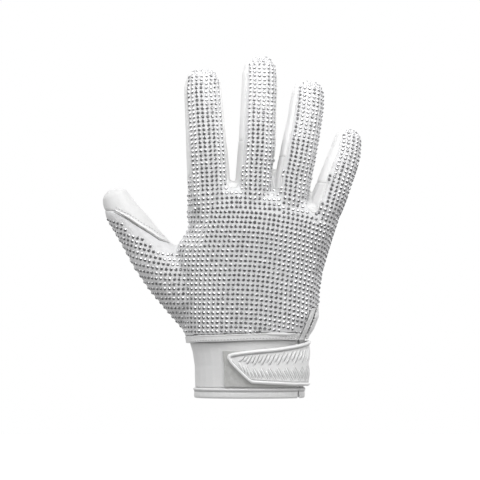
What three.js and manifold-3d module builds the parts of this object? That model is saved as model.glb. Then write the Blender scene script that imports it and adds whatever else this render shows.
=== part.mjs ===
import * as THREE from "three";
import Module from "manifold-3d";

// Right-hand football glove in millimetres. X runs to the little finger, Y to the palm,
// Z to the fingertips. The origin is the centre of the wrist opening at the cuff's lower edge.

const wasm = await Module();
wasm.setup();

const wall = 1.6;
const seamGap = 0.3;
const bindingRise = 0.5;
const far = 70;
const surfaceTolerance = 0.12;
const fingerRadius = 12;

const fingerFacets = 14;
const thumbFacets = 16;
const handFacets = 30;
const cuffFacets = 32;
const domeAngles = [30, 56, 76];

// Each row is a section: its two outline points (x, z) seen from the back of the hand,
// and the y of its back and palm faces.
const index = {
  facets: fingerFacets,
  square: 2.2,
  dome: 8.8,
  roll: 3,
  strip: 54,
  rows: [
    { left: [-38, 114], right: [-13.5, 116], back: -25, palm: 4 },
    { left: [-39.7, 130], right: [-11.8, 132], back: -27.2, palm: 1.6 },
    { left: [-40.3, 144], right: [-12.4, 146], back: -27, palm: -1 },
    { left: [-40.8, 160], right: [-13.9, 161.5], back: -27.4, palm: -3 },
    { left: [-41.2, 175], right: [-15.5, 176.5], back: -26.4, palm: -3 },
    { left: [-41.8, 190], right: [-17, 191.5], back: -24.4, palm: -1.6 },
    { left: [-42.2, 199.5], right: [-17.9, 201], back: -22.4, palm: 0 },
    { left: [-41.3, 204.5], right: [-18.4, 206], back: -20.8, palm: 1 },
  ],
};
const middle = {
  facets: fingerFacets,
  square: 2.2,
  dome: 12.4,
  roll: 17,
  strip: 54,
  rows: [
    { left: [-10.5, 114], right: [14, 113], back: -26, palm: 4 },
    { left: [-10, 131], right: [15.2, 130], back: -28, palm: 1.6 },
    { left: [-8.6, 147], right: [15.8, 146], back: -28, palm: -2.5 },
    { left: [-7.2, 164], right: [17.4, 163], back: -28.4, palm: -4.5 },
    { left: [-6.3, 177], right: [17.6, 176], back: -27.4, palm: -4 },
    { left: [-5.5, 190], right: [17.8, 189], back: -25, palm: -2.5 },
    { left: [-4.9, 203], right: [18.5, 202], back: -21.6, palm: 0.4 },
    { left: [-4.4, 210.5], right: [18.1, 209.5], back: -19, palm: 2 },
  ],
};
const ring = {
  facets: fingerFacets,
  square: 2.2,
  dome: 9.4,
  roll: 25,
  strip: 54,
  rows: [
    { left: [11.5, 113], right: [34, 109], back: -25, palm: 4 },
    { left: [14, 130], right: [38, 126], back: -27, palm: 1.6 },
    { left: [16.2, 145], right: [40.4, 141], back: -26.6, palm: -2 },
    { left: [19.5, 158], right: [43.3, 154.5], back: -26.6, palm: -3 },
    { left: [22, 169.5], right: [45, 166], back: -25.4, palm: -3 },
    { left: [24.8, 181], right: [46.8, 177.5], back: -22.6, palm: -1 },
    { left: [26.3, 191], right: [48.2, 188], back: -19.6, palm: 1.4 },
    { left: [27.8, 198.5], right: [48.3, 195.5], back: -17, palm: 3 },
  ],
};
const little = {
  facets: fingerFacets,
  square: 2.2,
  dome: 9,
  roll: 38,
  strip: 54,
  rows: [
    { left: [33, 111], right: [52.5, 105.5], back: -21.5, palm: 5 },
    { left: [38.6, 127], right: [60.1, 121.2], back: -24.4, palm: 2.4 },
    { left: [42.2, 136.8], right: [63.8, 130.8], back: -23, palm: 0 },
    { left: [46, 146], right: [66.8, 140], back: -22, palm: -1.4 },
    { left: [49.4, 154.4], right: [69.8, 149], back: -20.4, palm: -0.6 },
    { left: [52.5, 161.5], right: [71.8, 156.5], back: -18, palm: 1 },
    { left: [55, 168], right: [72.3, 163.5], back: -15.4, palm: 2 },
  ],
};
const thumb = {
  facets: thumbFacets,
  square: 2.2,
  dome: 7,
  rows: [
    { left: [-41.5, 42.5], right: [-16, 50], back: -10, palm: 19 },
    { left: [-53.4, 56.2], right: [-20, 72], back: -18, palm: 24.4 },
    { left: [-65, 70.2], right: [-32, 90], back: -17.5, palm: 22.5 },
    { left: [-74.4, 84.2], right: [-50.9, 100.2], back: -14.5, palm: 17 },
    { left: [-81.6, 98], right: [-57.8, 108.2], back: -12.5, palm: 14.5 },
    { left: [-87.8, 109], right: [-65.8, 118.4], back: -11, palm: 12.6 },
    { left: [-92.9, 117.2], right: [-72.4, 125.5], back: -9.8, palm: 11.4 },
    { left: [-94.9, 125.6], right: [-77.8, 132.4], back: -7.2, palm: 9.4 },
  ],
};
const hand = {
  facets: handFacets,
  square: 2.5,
  dome: 9,
  rows: [
    { left: [-40.4, 34], right: [38.3, 34], back: -26.5, palm: 26 },
    { left: [-41, 39.3], right: [38.7, 39.3], back: -26.5, palm: 26 },
    { left: [-42.6, 45], right: [42.2, 44.5], back: -26.6, palm: 25.4 },
    { left: [-44.5, 54], right: [45.4, 52.6], back: -27, palm: 24 },
    { left: [-46, 70], right: [45.4, 68], back: -27.6, palm: 21.4 },
    { left: [-47.6, 86], right: [47.2, 81.5], back: -28, palm: 18.4 },
    { left: [-47.6, 99.5], right: [50.4, 92.8], back: -28.6, palm: 15 },
    { left: [-41.4, 112], right: [54, 105], back: -29.4, palm: 11 },
    { left: [-39.6, 127], right: [56.2, 111.5], back: -28.6, palm: 6.5 },
    { left: [-39, 139], right: [57.4, 115], back: -27.2, palm: 3 },
  ],
};

// Outer face of the cuff band, by height.
const cuffSquare = 2.3;
const cuffWall = 2.4;
const cuffRows = [
  { z: 0, left: -35, right: 35.5, back: -24.4, palm: 24.4 },
  { z: 21, left: -35.4, right: 36, back: -24.4, palm: 24.4 },
  { z: 30, left: -36.8, right: 36.2, back: -24.4, palm: 24.2 },
  { z: 34.5, left: -38.2, right: 36.3, back: -24.4, palm: 24 },
  { z: 41, left: -38.9, right: 36.6, back: -24.4, palm: 24 },
];
const bandLow = 7;
const bandHigh = 41;
const hemRidges = [
  { z: 0, rise: 0.3 },
  { z: 0.9, rise: 0.8 },
  { z: 3.7, rise: 0.7 },
  { z: 4.4, rise: 0.3 },
  { z: 5.6, rise: 0.9 },
  { z: 6.7, rise: 0.5 },
];
const ventSlit = { from: 31.4, to: 32.5 };

// The strap runs from its tip on the back, round the little-finger side, to its root on the palm.
const strapInner = 1.7;
const strapField = 2.9;
const strapRim = 3.6;
const rimWidth = 1.8;
const strapRows = [
  { angle: -112.5, low: 25.6, high: 27.6, field: strapRim },
  { angle: -111, low: 24.3, high: 28.8, field: strapRim },
  { angle: -107, low: 21.8, high: 29.5, field: strapField },
  { angle: -98, low: 16, high: 30.4, field: strapField },
  { angle: -89.5, low: 9.8, high: 31.2, field: strapField },
  { angle: -77, low: 9.2, high: 32.1, field: strapField },
  { angle: -65, low: 8.8, high: 32.8, field: strapField },
  { angle: -54, low: 8.4, high: 33.7, field: strapField },
  { angle: -44, low: 8.1, high: 34.5, field: strapField },
  { angle: -33, low: 8, high: 35.3, field: strapField },
  { angle: -23, low: 7.9, high: 36, field: strapField },
  { angle: -12, low: 7.7, high: 36.8, field: strapField },
  { angle: 0, low: 7.6, high: 37.2, field: strapField },
  { angle: 12, low: 7.7, high: 37, field: strapField },
  { angle: 24, low: 7.9, high: 36.5, field: strapField },
  { angle: 38, low: 8.2, high: 35.5, field: strapField },
  { angle: 55, low: 8.6, high: 34, field: strapField },
  { angle: 72, low: 9, high: 33, field: strapRim },
];
const patchInner = 0.4;
const patchOuter = 1.4;
const patchSpan = { from: -113, to: -35, steps: 9, low: 7.4, high: 31 };

// Seam lines seen from the back, as (x, z).
const hemLine = [[-60, 34.6], [-39, 35.6], [-32, 36.4], [-19, 36.8], [1, 37.6], [20, 38], [35, 37.5]];
const hemHeight = 4.4;
const ventLine = [[35, 37.4], [37.1, 41.9], [39.6, 47.8], [41.6, 53], [43.4, 58.2]];
const ventBindingWidth = 3;
const ventGap = 1.3;
const thumbSeam = [
  [-100, 121.8], [-87, 121.2], [-77.4, 116], [-70.9, 111.5], [-64.4, 107.6], [-57.9, 103], [-48, 99.6],
];
const webLine = [
  [-48, 134], [-37, 143], [-17, 143], [-14.2, 138.2], [-12.6, 136.2], [-10.4, 135.5], [-8.2, 136.2],
  [-6.6, 138.2], [-4.4, 143], [12.4, 142], [15.2, 137.4], [16.6, 135.6], [18.2, 134.9], [19.6, 135.6],
  [21, 138], [34, 131], [38.2, 123], [40, 120.2], [42.2, 119.3], [44.4, 120.2], [46.6, 123], [66, 122],
];
const knuckleLine = [[-47.5, 133], [14, 133], [30, 126], [38, 117.5], [46, 117.5], [52, 123], [66, 121]];
const palmSplit = -4;
const webSplit = -17;
const thumbSplit = 6;
const thumbSideSplit = [[-far, 20], [-3, 20], [4, 56], [thumbSplit, 84], [thumbSplit, 140], [-far, 140]];
const webSideSplit = [[-far, 20], [-3, 20], [4, 56], [5, 84], [3, 98], [palmSplit, 108], [-far, 108]];
const thumbBase = [[-100, 60], [-69, 74], [-46, 104], [-60, 150], [-110, 150]];

// Side strips between neighbouring fingers: from one finger's axis to the next, up to the cross seam.
const fourchettes = [
  {
    name: "fourchette_index_middle",
    outline: [[-25, 126], [4, 126], [4.8, 166.7], [-27.6, 166.7]],
    palm: -9.5,
  },
  {
    name: "fourchette_middle_ring",
    outline: [[3.5, 126], [27, 124], [31.6, 156.3], [4.6, 156.3]],
    palm: -9.5,
  },
  {
    name: "fourchette_ring_little",
    outline: [[26, 112], [47, 110], [55.6, 139.4], [28.6, 139.4]],
    palm: -7.5,
  },
];

const colours = {
  fabric: 0xdfe0e2,
  leather: 0xf2f2f1,
  mesh: 0xe9e9e9,
  band: 0xe6e6e7,
  strap: 0xf1f1f0,
};

function solidFrom(positions, faces) {
  const mesh = new wasm.Mesh({
    numProp: 3,
    vertProperties: new Float32Array(positions.flatMap((point) => [point.x, point.y, point.z])),
    triVerts: new Uint32Array(faces.flat()),
  });
  return new wasm.Manifold(mesh);
}

// Joins closed sections of equal length into a capped solid.
// A section runs anticlockwise seen from its far end.
function loft(sections) {
  const size = sections[0].points.length;
  const positions = sections.flatMap((section) => section.points);
  const faces = [];
  for (let level = 0; level + 1 < sections.length; level += 1) {
    for (let i = 0; i < size; i += 1) {
      const a = level * size + i;
      const b = level * size + ((i + 1) % size);
      faces.push([a, b, b + size], [a, b + size, a + size]);
    }
  }
  const start = positions.length;
  const last = (sections.length - 1) * size;
  positions.push(sections[0].pole, sections.at(-1).pole);
  for (let i = 0; i < size; i += 1) {
    const next = (i + 1) % size;
    faces.push([start, next, i], [start + 1, last + i, last + next]);
  }
  return solidFrom(positions, faces);
}

function power(value, square) {
  return Math.sign(value) * Math.abs(value) ** (2 / square);
}

// Turns a body's rows and its domed end into centres with an across direction and half sizes.
function stationsOf(body, inset) {
  const stations = body.rows.map((row) => {
    const span = new THREE.Vector3(row.right[0] - row.left[0], 0, row.right[1] - row.left[1]);
    return {
      centre: new THREE.Vector3(
        (row.left[0] + row.right[0]) / 2,
        (row.back + row.palm) / 2,
        (row.left[1] + row.right[1]) / 2,
      ),
      across: span.clone().normalize(),
      wide: span.length() / 2 - inset,
      deep: (row.palm - row.back) / 2 - inset,
    };
  });
  const end = stations.at(-1);
  const before = stations.at(-2);
  const drift = (end.centre.y - before.centre.y) / end.centre.distanceTo(before.centre);
  const along = new THREE.Vector3(-end.across.z, drift, end.across.x).normalize();
  for (const angle of domeAngles) {
    const turn = THREE.MathUtils.degToRad(angle);
    stations.push({
      centre: end.centre.clone().addScaledVector(along, (body.dome - inset) * Math.sin(turn)),
      across: end.across,
      wide: end.wide * Math.cos(turn),
      deep: end.deep * Math.cos(turn),
    });
  }
  stations.pole = end.centre.clone().addScaledVector(along, body.dome - inset);
  return stations;
}

function pointOn(station, square, angle) {
  const side = station.wide * power(Math.cos(angle), square);
  const depth = station.deep * power(Math.sin(angle), square);
  return station.centre.clone().addScaledVector(station.across, side).add(new THREE.Vector3(0, depth, 0));
}

function tube(body, inset) {
  const stations = stationsOf(body, inset);
  const sections = stations.map((station, level) => ({
    points: Array.from({ length: body.facets }, (_, i) => {
      return pointOn(station, body.square, ((i + 0.5) / body.facets) * 2 * Math.PI);
    }),
    pole: level === 0 ? station.centre : stations.pole,
  }));
  return loft(sections);
}

// The sector of a finger that its studded strip covers, a little larger than the finger itself.
function stripSector(finger, grow) {
  const reach = 1.5;
  const steps = 6;
  const narrow = THREE.MathUtils.degToRad(finger.strip);
  const half = narrow + grow / fingerRadius;
  const facing = THREE.MathUtils.degToRad(finger.roll - 90);
  const stations = stationsOf(finger, -reach - grow).slice(0, -1);
  const rise = stations[1].centre.clone().sub(stations[0].centre).normalize();
  stations[0].centre.addScaledVector(rise, -grow);
  const sections = stations.map((station) => {
    const towards = station.across.clone().multiplyScalar(Math.cos(facing));
    towards.y = Math.sin(facing);
    const apex = station.centre.clone().addScaledVector(towards, -grow / Math.sin(narrow));
    const arc = Array.from({ length: steps + 1 }, (_, i) => {
      return pointOn(station, finger.square, facing + half * ((2 * i) / steps - 1));
    });
    return { points: [apex, ...arc], pole: apex.clone().lerp(arc[steps / 2], 0.5) };
  });
  return loft(sections);
}

// Moves every side of a closed outline outwards.
function grownOutline(outline, amount) {
  const points = outline.map(([x, y]) => new THREE.Vector2(x, y));
  const sign = THREE.ShapeUtils.area(points) > 0 ? 1 : -1;
  return points.map((point, i) => {
    const before = point.clone().sub(points.at(i - 1)).normalize();
    const after = points[(i + 1) % points.length].clone().sub(point).normalize();
    const first = new THREE.Vector2(before.y, -before.x);
    const normal = new THREE.Vector2(after.y, -after.x).add(first).normalize();
    return point.clone().addScaledVector(normal, (sign * amount) / Math.max(normal.dot(first), 0.4));
  });
}

// Extrudes an outline: of (x, z) points along Y, or of (y, z) points along X.
function prism(outline, from, to, alongX = false) {
  const points = outline.map((point) => (point.isVector2 ? point : new THREE.Vector2(point[0], point[1])));
  if (THREE.ShapeUtils.area(points) < 0) {
    points.reverse();
  }
  const size = points.length;
  const place = (point, depth) => {
    return alongX ? new THREE.Vector3(depth, point.x, point.y) : new THREE.Vector3(point.x, depth, point.y);
  };
  const near = points.map((point) => place(point, from));
  const distant = points.map((point) => place(point, to));
  const positions = [...near, ...distant];
  const faces = [];
  for (const [a, b, c] of THREE.ShapeUtils.triangulateShape(points, [])) {
    faces.push([a, c, b], [a + size, b + size, c + size]);
  }
  for (let i = 0; i < size; i += 1) {
    const next = (i + 1) % size;
    faces.push([i, next, next + size], [i, next + size, i + size]);
  }
  return solidFrom(positions, alongX ? faces : faces.map(([a, b, c]) => [a, c, b]));
}

function cuffAt(z) {
  const upper = Math.max(1, cuffRows.findIndex((row) => row.z >= z));
  const high = z > cuffRows.at(-1).z ? cuffRows.at(-1) : cuffRows[upper];
  const low = z > cuffRows.at(-1).z ? high : cuffRows[upper - 1];
  const share = high === low ? 0 : (z - low.z) / (high.z - low.z);
  const mix = (key) => THREE.MathUtils.lerp(low[key], high[key], share);
  return {
    centre: new THREE.Vector3((mix("left") + mix("right")) / 2, (mix("back") + mix("palm")) / 2, z),
    across: new THREE.Vector3(1, 0, 0),
    wide: (mix("right") - mix("left")) / 2,
    deep: (mix("palm") - mix("back")) / 2,
  };
}

function cuffPoint(angle, z, rise) {
  const station = cuffAt(z);
  station.wide += rise;
  station.deep += rise;
  return pointOn(station, cuffSquare, THREE.MathUtils.degToRad(angle));
}

// A full ring on the cuff, from levels of height and rise over the band's outer face.
function cuffTube(levels) {
  const sections = levels.map(({ z, rise }) => ({
    points: Array.from({ length: cuffFacets }, (_, i) => cuffPoint(((i + 0.5) / cuffFacets) * 360, z, rise)),
    pole: cuffAt(z).centre,
  }));
  return loft(sections);
}

// A part of a ring wrapped on the cuff. Each row's profile lists (share of the height, rise) pairs.
function cuffWrap(rows, inner, profileOf) {
  const innerShares = [1, 0.66, 0.33, 0];
  const sections = rows.map((row) => {
    const height = row.high - row.low;
    const profile = [...profileOf(row, height), ...innerShares.map((share) => [share, inner])];
    const points = profile.map(([share, rise]) => {
      return cuffPoint(row.angle, row.low + share * height, rise);
    });
    points.reverse();
    return { points, pole: cuffPoint(row.angle, row.low + height / 2, (inner + profile[1][1]) / 2) };
  });
  return loft(sections);
}

function patchRows() {
  const { from, to, steps, low, high } = patchSpan;
  return Array.from({ length: steps + 1 }, (_, i) => {
    return { angle: THREE.MathUtils.lerp(from, to, i / steps), low, high };
  });
}

function strapProfile(row, height) {
  const rim = Math.min(rimWidth / height, 0.3);
  const step = rim * 1.15;
  return [
    [0, strapRim - 0.5],
    [rim * 0.25, strapRim],
    [rim, strapRim],
    [step, row.field],
    [0.5, row.field],
    [1 - step, row.field],
    [1 - rim, strapRim],
    [1 - rim * 0.25, strapRim],
    [1, strapRim - 0.5],
  ];
}

function union(parts) {
  return parts.reduce((sum, part) => sum.add(part));
}

const bodies = [hand, index, middle, ring, little, thumb];
const hollow = union(bodies.map((body) => tube(body, wall)));

function shellOf(rise) {
  return union(bodies.map((body) => tube(body, -rise))).subtract(hollow);
}

// The region of the studded back, grown by the seam gap where a neighbour is cut against it.
function backRegion(grow) {
  const handOutline = [[-47.5, 20], ...knuckleLine, [66, 20]];
  const webOutline = [[-47.5, 110], ...webLine, [66, 110]];
  const ventSide = [...ventLine, [46, 60], [66, 60], [66, 20], [35, 20]];
  const centre = prism(grownOutline(handOutline, grow), -far, palmSplit + grow);
  const webs = prism(grownOutline(webOutline, grow), -far, webSplit + grow);
  const vent = prism(grownOutline(ventSide, -grow), -far, far);
  const left = prism(grownOutline(webSideSplit, grow), -49, 0, true);
  const thumbOutline = [[-47.5, 20], ...[...thumbSeam].reverse(), [-110, 121.8], [-110, 20]];
  const thumbBack = prism(grownOutline(thumbOutline, grow), -far, far);
  const thumbSide = prism(grownOutline(thumbSideSplit, grow), -110, -40, true);
  const strips = [index, middle, ring, little].map((finger) => stripSector(finger, grow));
  return union([centre.subtract(vent), webs, left, thumbBack.intersect(thumbSide), ...strips]);
}

function raised(line, height) {
  return line.map(([x, z]) => [x, z + height]);
}

function shifted(line, distance) {
  return line.map(([x, z]) => [x + distance, z]);
}

function hemRegion(grow) {
  return prism(grownOutline([...hemLine, ...raised(hemLine, hemHeight).reverse()], grow), -far, 0);
}

function ventRegion(grow) {
  const inner = shifted(ventLine, -ventBindingWidth).reverse();
  return prism(grownOutline([...ventLine, ...inner], grow), -far, 0);
}

function thumbRegion(grow) {
  const above = [...thumbSeam, [-48, 150], [-110, 150], [-110, 121.8]];
  return prism(grownOutline(above, grow), -far, far).add(
    prism(grownOutline(thumbBase, grow), thumbSplit - grow, far),
  );
}

function fourchetteRegion({ outline, palm }, grow) {
  return prism(grownOutline(outline, grow), -far, palm + grow);
}

const shell = shellOf(0);
const boundShell = shellOf(bindingRise);
const back = backRegion(0);
const backWithGap = backRegion(seamGap);
const belowHem = prism([...hemLine, [80, 37.5], [80, 20], [-80, 20], [-80, 34.6]], -far, far);
const belowPalm = prism([[-80, 20], [80, 20], [80, 38], [-80, 38]], -far, far);
const ventOpening = prism([...ventLine, ...shifted(ventLine, ventGap).reverse()], -far, 0);
const slitOutline = [[ventSlit.from, -2], [ventSlit.to, -2], [ventSlit.to, 42], [ventSlit.from, 42]];
const slit = prism(slitOutline, -far, -5);

const bandLevels = [bandLow, 21, 30, 34.5, bandHigh];
const band = cuffTube(bandLevels.map((z) => ({ z, rise: 0 }))).subtract(
  cuffTube([bandLow - 1, 21, 30, 34.5, bandHigh + 1].map((z) => ({ z, rise: -cuffWall }))),
);
const hem = cuffTube(hemRidges).subtract(
  cuffTube([{ z: -1, rise: -cuffWall }, { z: bandLow, rise: -cuffWall }]),
);

const pieces = [
  {
    name: "back_panel",
    colour: colours.fabric,
    solid: shell
      .intersect(back)
      .subtract(hemRegion(seamGap))
      .subtract(ventRegion(seamGap))
      .subtract(belowHem),
  },
  {
    name: "palm_panel",
    colour: colours.leather,
    solid: fourchettes
      .reduce((rest, strip) => rest.subtract(fourchetteRegion(strip, seamGap)), shell.subtract(backWithGap))
      .subtract(thumbRegion(seamGap))
      .subtract(ventOpening)
      .subtract(belowPalm),
  },
  {
    name: "thumb_leather",
    colour: colours.leather,
    solid: shell.intersect(thumbRegion(0)).subtract(backWithGap),
  },
  ...fourchettes.map((strip) => ({
    name: strip.name,
    colour: colours.mesh,
    solid: shell.intersect(fourchetteRegion(strip, 0)).subtract(backWithGap),
  })),
  {
    name: "back_hem_binding",
    colour: colours.leather,
    solid: boundShell.intersect(back).intersect(hemRegion(0)).subtract(ventRegion(seamGap)),
  },
  {
    name: "vent_binding",
    colour: colours.leather,
    solid: boundShell.intersect(back).intersect(ventRegion(0)).subtract(belowHem),
  },
  { name: "cuff_band", colour: colours.band, solid: band.subtract(slit) },
  { name: "cuff_hem", colour: colours.band, solid: hem.subtract(slit) },
  {
    name: "loop_patch",
    colour: colours.band,
    solid: cuffWrap(patchRows(), patchInner, () => [0, 0.33, 0.66, 1].map((share) => [share, patchOuter])),
  },
  { name: "closure_strap", colour: colours.strap, solid: cuffWrap(strapRows, strapInner, strapProfile) },
];

function meshOf({ name, colour, solid }) {
  const bodiesOf = solid.simplify(surfaceTolerance).decompose().sort((a, b) => b.volume() - a.volume());
  const { vertProperties, triVerts } = bodiesOf[0].getMesh();
  const geometry = new THREE.BufferGeometry();
  geometry.setAttribute("position", new THREE.BufferAttribute(new Float32Array(vertProperties), 3));
  geometry.setIndex(new THREE.BufferAttribute(new Uint32Array(triVerts), 1));
  geometry.computeVertexNormals();
  const material = new THREE.MeshStandardMaterial({ color: colour, roughness: 0.7, metalness: 0 });
  const mesh = new THREE.Mesh(geometry, material);
  mesh.name = name;
  return mesh;
}

const glove = new THREE.Group();
glove.name = "football_glove";
pieces.forEach((piece) => glove.add(meshOf(piece)));

export default glove;
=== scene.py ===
import math
from itertools import product

import bmesh
import bpy
import numpy as np
from mathutils import Matrix, Vector
from mathutils.bvhtree import BVHTree
from mathutils.kdtree import KDTree


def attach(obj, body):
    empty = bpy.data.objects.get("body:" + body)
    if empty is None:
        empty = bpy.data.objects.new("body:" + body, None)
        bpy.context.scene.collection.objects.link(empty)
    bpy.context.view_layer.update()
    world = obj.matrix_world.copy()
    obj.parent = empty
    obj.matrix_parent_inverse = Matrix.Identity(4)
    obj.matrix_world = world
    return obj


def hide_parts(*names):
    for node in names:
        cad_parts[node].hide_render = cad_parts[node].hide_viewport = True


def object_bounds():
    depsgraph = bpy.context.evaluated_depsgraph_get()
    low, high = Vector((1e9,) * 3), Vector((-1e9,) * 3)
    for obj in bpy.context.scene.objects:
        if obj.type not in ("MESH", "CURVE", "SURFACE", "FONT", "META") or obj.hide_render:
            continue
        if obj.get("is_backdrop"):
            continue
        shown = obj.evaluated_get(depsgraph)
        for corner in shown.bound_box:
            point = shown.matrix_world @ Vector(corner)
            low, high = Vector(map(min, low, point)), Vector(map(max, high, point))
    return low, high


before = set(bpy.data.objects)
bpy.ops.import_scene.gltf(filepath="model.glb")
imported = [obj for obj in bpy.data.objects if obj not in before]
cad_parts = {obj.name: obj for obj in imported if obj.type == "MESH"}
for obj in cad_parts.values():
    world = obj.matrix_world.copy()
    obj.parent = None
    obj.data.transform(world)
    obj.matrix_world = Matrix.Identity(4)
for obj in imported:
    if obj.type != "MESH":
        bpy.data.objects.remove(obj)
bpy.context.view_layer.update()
mm = 0.001


def say(*words):
    print(*words, flush=True)


def deselectAll():
    bpy.ops.object.select_all(action="DESELECT")


def makeActive(obj):
    deselectAll()
    obj.select_set(True)
    bpy.context.view_layer.objects.active = obj


def newObject(name, data):
    obj = bpy.data.objects.new(name, data)
    bpy.context.scene.collection.objects.link(obj)
    return obj


def newMeshObject(name, points, faces):
    mesh = bpy.data.meshes.new(name)
    mesh.from_pydata(points, [], faces)
    return newObject(name, mesh)


def applyModifiers(obj):
    makeActive(obj)
    for modifier in list(obj.modifiers):
        bpy.ops.object.modifier_apply(modifier=modifier.name)


def meshArrays(mesh):
    points = np.empty(len(mesh.vertices) * 3)
    mesh.vertices.foreach_get("co", points)
    edges = np.empty(len(mesh.edges) * 2, dtype=np.int64)
    mesh.edges.foreach_get("vertices", edges)
    return points.reshape(-1, 3), edges.reshape(-1, 2)


def setPoints(mesh, points):
    mesh.vertices.foreach_set("co", points.ravel())
    mesh.update()


def towardNeighbours(points, edges):
    # from each point to the middle of the points it is joined to
    count = len(points)
    first, second = edges[:, 0], edges[:, 1]
    near = np.bincount(first, minlength=count) + np.bincount(second, minlength=count)
    total = np.empty_like(points)
    for axis in range(3):
        total[:, axis] = (
            np.bincount(first, points[second, axis], count)
            + np.bincount(second, points[first, axis], count)
        )
    return total / np.maximum(near, 1)[:, None] - points


def evenOut(points, edges, rounds, passBand=0.12, strength=0.6):
    # every other pass pushes back out, so creases go and the size stays
    back = -strength / (1 - passBand * strength)
    for step in range(rounds):
        for factor in (strength, back):
            points = points + factor * towardNeighbours(points, edges)
    return points


def joinedCopy(name, nodes, grow=0.0, reshape=None):
    copies = []
    for node in nodes:
        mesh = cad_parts[node].data.copy()
        if reshape:
            reshape(mesh)
        copy = newObject(name, mesh)
        makeActive(copy)
        bpy.ops.object.mode_set(mode="EDIT")
        bpy.ops.mesh.select_all(action="SELECT")
        bpy.ops.mesh.remove_doubles(threshold=0.00001)
        bpy.ops.mesh.normals_make_consistent(inside=False)
        bpy.ops.object.mode_set(mode="OBJECT")
        if grow:
            swell = copy.modifiers.new("swell", "DISPLACE")
            swell.strength = grow
            swell.mid_level = 0
            applyModifiers(copy)
        copies.append(copy)
    deselectAll()
    for copy in copies:
        copy.select_set(True)
    bpy.context.view_layer.objects.active = copies[0]
    if len(copies) > 1:
        bpy.ops.object.join()
    joined = bpy.context.view_layer.objects.active
    joined.name = name
    return joined


def remeshed(obj, voxel):
    remesh = obj.modifiers.new("even", "REMESH")
    remesh.mode = "VOXEL"
    remesh.voxel_size = voxel
    applyModifiers(obj)
    return obj


def smoothShade(obj):
    makeActive(obj)
    bpy.ops.object.shade_smooth()


def dress(obj, material):
    obj.data.materials.clear()
    obj.data.materials.append(material)
    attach(obj, "root")
    return obj


def softNode(name, node, voxel, rounds, material):
    # a small CAD piece with its edges rounded
    obj = remeshed(joinedCopy(name, [node]), voxel)
    points, edges = meshArrays(obj.data)
    setPoints(obj.data, evenOut(points, edges, rounds))
    smoothShade(obj)
    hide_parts(node)
    return dress(obj, material)


def grey(level):
    return level, level, level, 1


def wire(tree, *pairs):
    for source, target in pairs:
        tree.links.new(source, target)


def multiplyAdd(tree, value, factor):
    # the value times the factor, plus what goes into the third socket
    node = tree.nodes.new("ShaderNodeMath")
    node.operation = "MULTIPLY_ADD"
    node.inputs[1].default_value = factor
    tree.links.new(value, node.inputs[0])
    return node


def shadeRamp(tree, stops):
    shades = tree.nodes.new("ShaderNodeValToRGB")
    elements = shades.color_ramp.elements
    for element, (position, colour) in zip(elements, (stops[0], stops[-1])):
        element.position = position
        element.color = colour
    for position, colour in stops[1:-1]:
        elements.new(position).color = colour
    return shades


def patchy(tree, scale, stops):
    # patches of noise, from the first colour to the last
    place = tree.nodes.new("ShaderNodeTexCoord")
    noise = tree.nodes.new("ShaderNodeTexNoise")
    noise.inputs["Scale"].default_value = scale
    shades = shadeRamp(tree, stops)
    tree.links.new(place.outputs["Object"], noise.inputs["Vector"])
    tree.links.new(noise.outputs["Fac"], shades.inputs["Fac"])
    return shades.outputs["Color"]


def newMaterial(name):
    material = bpy.data.materials.new(name)
    material.use_nodes = True
    return material, material.node_tree, material.node_tree.nodes["Principled BSDF"]


def newGroup(name, scales, colours):
    # a group that makes a colour and a height from a place, with inputs for its scales and colours
    tree = bpy.data.node_groups.new(name, "ShaderNodeTree")
    tree.interface.new_socket(name="Vector", in_out="INPUT", socket_type="NodeSocketVector")
    for kind, names in (("NodeSocketFloat", scales), ("NodeSocketColor", colours)):
        for socketName in names:
            tree.interface.new_socket(name=socketName, in_out="INPUT", socket_type=kind)
    for socketName, kind in (("Color", "NodeSocketColor"), ("Height", "NodeSocketFloat")):
        tree.interface.new_socket(name=socketName, in_out="OUTPUT", socket_type=kind)
    return tree, tree.nodes.new("NodeGroupInput"), tree.nodes.new("NodeGroupOutput")


def blendColours(tree, factor, first, second, result):
    # a Mix node's sockets 6 and 7 take its two colours, and its third output is their blend
    blend = tree.nodes.new("ShaderNodeMix")
    blend.data_type = "RGBA"
    wire(
        tree, (factor, blend.inputs["Factor"]), (first, blend.inputs[6]), (second, blend.inputs[7]),
        (blend.outputs[2], result.inputs["Color"]),
    )


def buildGrainGroup():
    # fine pebbles over slow hills, with a faint change of colour
    tree, given, result = newGroup("fineGrain", ["Fine Scale", "Slow Scale"], ["Light", "Dark"])
    cells = tree.nodes.new("ShaderNodeTexVoronoi")
    hills = tree.nodes.new("ShaderNodeTexNoise")
    hills.inputs["Detail"].default_value = 3
    height = multiplyAdd(tree, cells.outputs["Distance"], 0.35)
    wire(
        tree,
        (given.outputs["Vector"], cells.inputs["Vector"]),
        (given.outputs["Vector"], hills.inputs["Vector"]),
        (given.outputs["Fine Scale"], cells.inputs["Scale"]),
        (given.outputs["Slow Scale"], hills.inputs["Scale"]),
        (hills.outputs["Fac"], height.inputs[2]),
        (height.outputs["Value"], result.inputs["Height"]),
    )
    blendColours(tree, hills.outputs["Fac"], given.outputs["Light"], given.outputs["Dark"], result)
    return tree


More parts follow.
